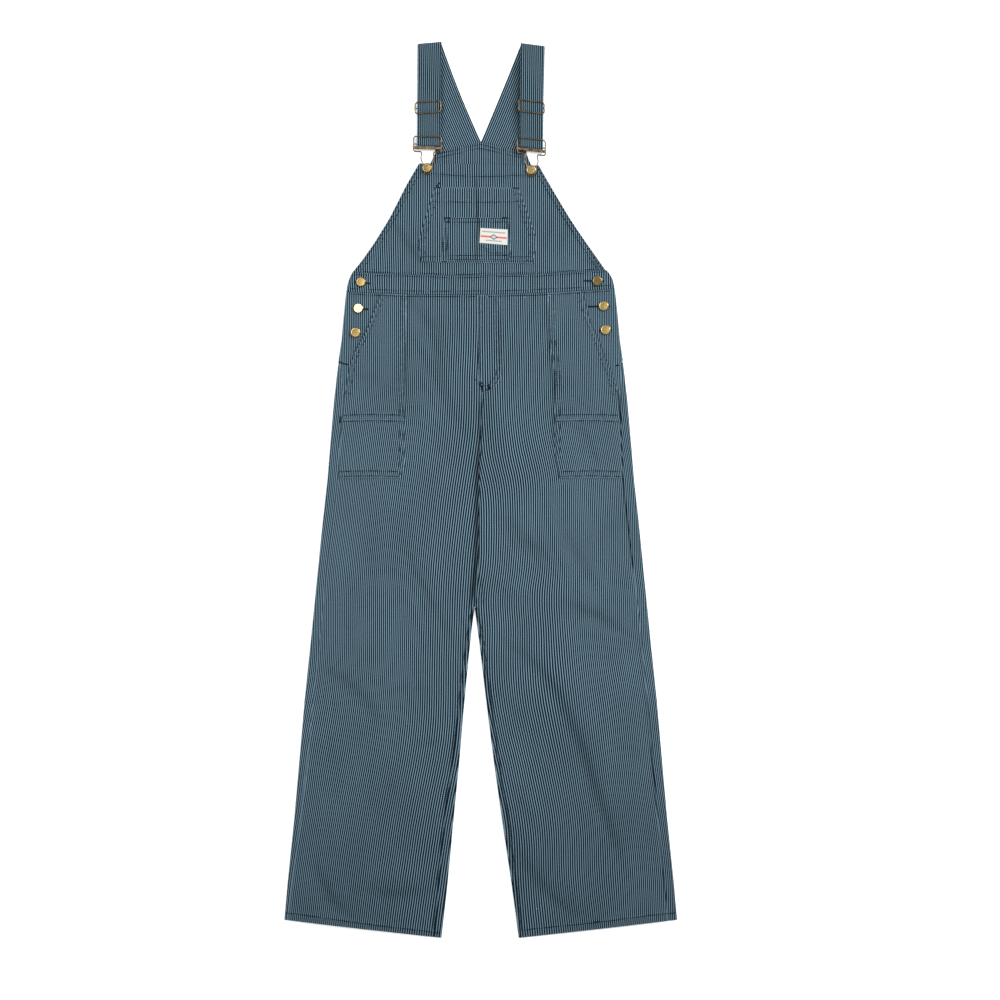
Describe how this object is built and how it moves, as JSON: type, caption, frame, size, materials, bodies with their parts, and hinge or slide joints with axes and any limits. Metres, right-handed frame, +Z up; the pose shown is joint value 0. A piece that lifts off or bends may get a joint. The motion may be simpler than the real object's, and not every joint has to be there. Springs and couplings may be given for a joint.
{
  "type": "dungarees",
  "caption": "Striped bib dungarees laid flat, front up, with shoulder straps folded over and hooked to the bib by wire buckles.",
  "frame": {"origin": "bottom centre of the bounding box: on the surface the garment lies on, midway across and midway between the hems and the shoulder folds", "axes": "+Z up out of the front, +Y from the hems towards the shoulders, +X towards the wearer's left"},
  "size_m": [0.608, 1.3878, 0.0103],
  "materials": {
    "striped_cloth": "washed cotton twill, narrow navy and pale blue stripes",
    "label_cloth": "woven satin label, off white",
    "brass": "worn polished brass",
    "antique_brass": "dark antique brass wire"
  },
  "bodies": {
    "root": {"leg_front_right": "striped_cloth", "leg_front_left": "striped_cloth", "leg_back_right": "striped_cloth", "leg_back_left": "striped_cloth", "waistband_front": "striped_cloth", "waistband_back": "striped_cloth", "bib_front": "striped_cloth", "bib_back": "striped_cloth", "fly": "striped_cloth", "bib_pocket": "striped_cloth", "bib_pocket_small": "striped_cloth", "label": "label_cloth", "hip_patch_right": "striped_cloth", "hip_patch_left": "striped_cloth", "hip_patch_low_right": "striped_cloth", "hip_patch_low_left": "striped_cloth", "strap_right": "striped_cloth", "strap_left": "striped_cloth", "slider_right": "antique_brass", "slider_left": "antique_brass", "buckle_right": "antique_brass", "buckle_left": "antique_brass", "button_bib_right": "brass", "button_bib_left": "brass", "button_side_right_1": "brass", "button_side_right_2": "brass", "button_side_right_3": "brass", "button_side_left_1": "brass", "button_side_left_2": "brass", "button_side_left_3": "brass"}
  },
  "joints": []
}
